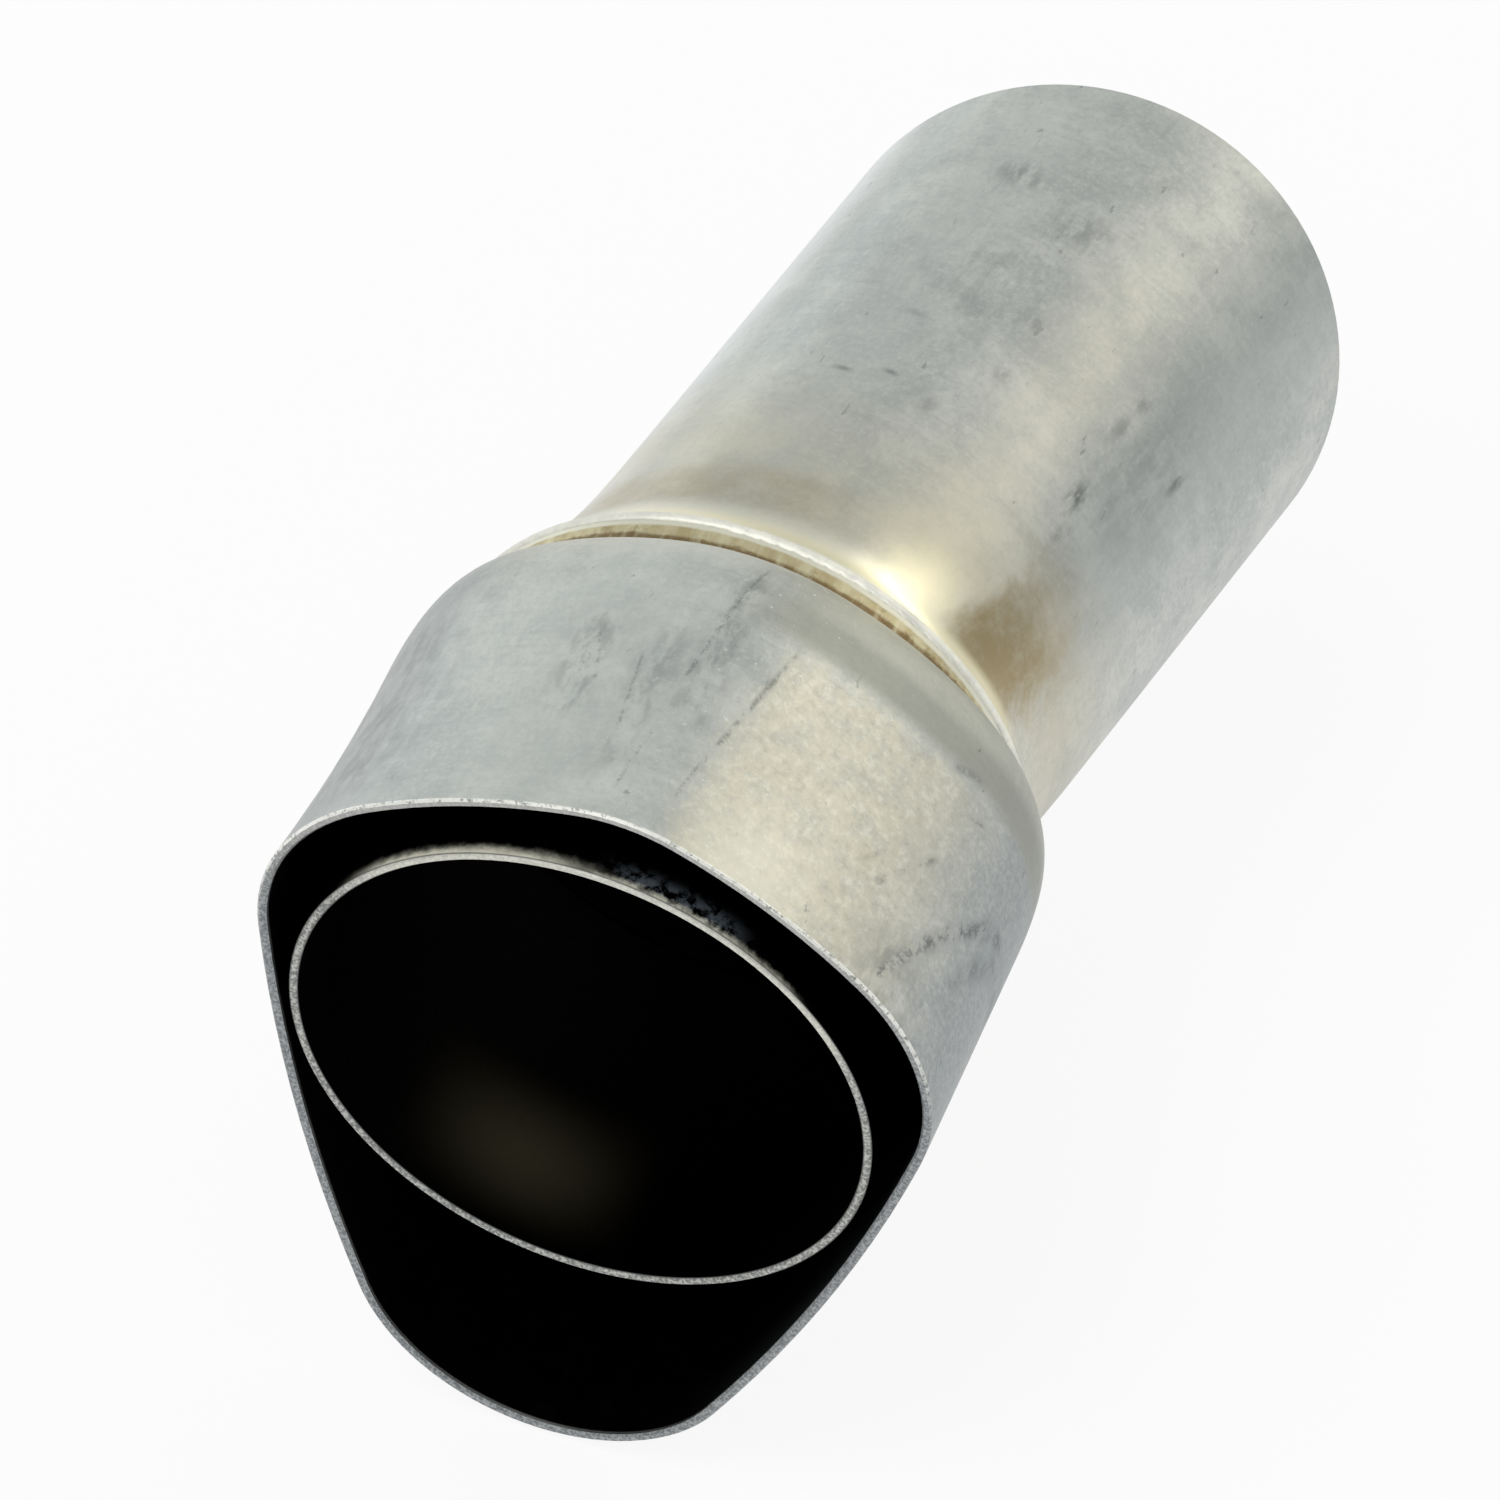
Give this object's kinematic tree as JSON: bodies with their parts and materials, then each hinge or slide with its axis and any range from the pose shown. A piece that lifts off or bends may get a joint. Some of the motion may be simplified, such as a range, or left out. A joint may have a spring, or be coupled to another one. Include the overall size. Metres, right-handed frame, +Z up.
{
  "type": "exhaust noise damper",
  "caption": "Bent exhaust noise damper insert: slash-cut inlet tube, welded flared lip and a shield-shaped outlet jacket round an inner pipe.",
  "frame": {"origin": "on the axis of the inlet tube, in the middle of its straight round run, at the inlet_spigot mount", "axes": "+Y along the inlet tube's axis towards its slash-cut free end, +Z up; the outlet tip turns off the axis by 11.3 degrees in the XY plane and opens towards -Y and slightly +X, with the apex of its mouth down"},
  "size_m": [0.0684, 0.1155, 0.089],
  "materials": {
    "inlet_tube": "brushed and lightly heat tinted",
    "inner_outlet_pipe": "satin, sooted inside",
    "outlet_jacket": "brushed, scratched",
    "weld_seam": "straw heat tint"
  },
  "bodies": {
    "root": {"inlet_tube": "inlet_tube", "inner_outlet_pipe": "inner_outlet_pipe", "outlet_jacket": "outlet_jacket", "weld_seam": "weld_seam"}
  },
  "joints": []
}
